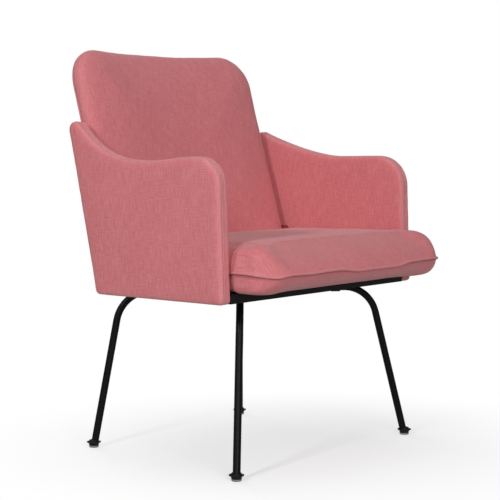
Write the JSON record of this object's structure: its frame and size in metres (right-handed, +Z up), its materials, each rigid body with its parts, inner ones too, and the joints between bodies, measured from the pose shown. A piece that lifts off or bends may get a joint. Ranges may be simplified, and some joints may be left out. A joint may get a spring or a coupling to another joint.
{
  "type": "upholstered armchair",
  "caption": "Low-armed upholstered easy chair with a tall padded back, a loose piped seat cushion and a black bent-tube underframe on cup glides",
  "frame": {"origin": "on the floor, under the middle of the chair's overall width and length", "axes": "+Z up, -Y the way the sitter faces, +X the sitter's left"},
  "size_m": [0.64, 0.5935, 0.8278],
  "materials": {
    "tube_black": "satin black enamel",
    "clip_black": "satin black",
    "screw_steel": "zinc plated",
    "cup_black": "matte moulded",
    "glide_nylon": "worn matte",
    "rail_black": "black stained",
    "plywood": "raw sanded",
    "batten_wood": "raw sanded",
    "webbing": "ribbed elastic",
    "lining_cloth": "plain weave",
    "upholstery": "slubbed wool weave",
    "spacer_plastic": "matte",
    "foam": "open cell foam",
    "zip_plastic": "nylon coil"
  },
  "bodies": {
    "chair": {"leg_tube_long": "tube_black", "leg_tube_front_half": "tube_black", "leg_tube_rear_half": "tube_black", "tube_clips": "clip_black", "clip_screws": "screw_steel", "glide_cups": "cup_black", "glide_discs": "glide_nylon", "front_rail": "rail_black", "rear_rail": "rail_black", "side_rail_right": "rail_black", "side_rail_left": "rail_black", "corner_gussets": "plywood", "seat_webbing": "webbing", "platform_cloth": "lining_cloth", "dust_cover": "lining_cloth", "rail_screws": "screw_steel", "arm_right_board": "plywood", "arm_right_outer_pad": "upholstery", "arm_right_inner_pad": "upholstery", "arm_right_edge_band": "upholstery", "arm_left_board": "plywood", "arm_left_outer_pad": "upholstery", "arm_left_inner_pad": "upholstery", "arm_left_edge_band": "upholstery", "arm_bolts": "screw_steel", "arm_spacers": "spacer_plastic", "back_front_pad": "upholstery", "back_board": "plywood", "back_battens": "batten_wood", "back_rear_pad": "upholstery"},
    "seat_cushion": {"cushion_top_cover": "upholstery", "cushion_lower_cover": "upholstery", "cushion_piping": "upholstery", "cushion_core": "foam", "cushion_zip": "zip_plastic"}
  },
  "joints": [
    {"name": "cushion_lift", "type": "slide", "parent": "chair", "child": "seat_cushion", "axis": [0, 0, 1], "range_m": [0, 0.3]}
  ]
}
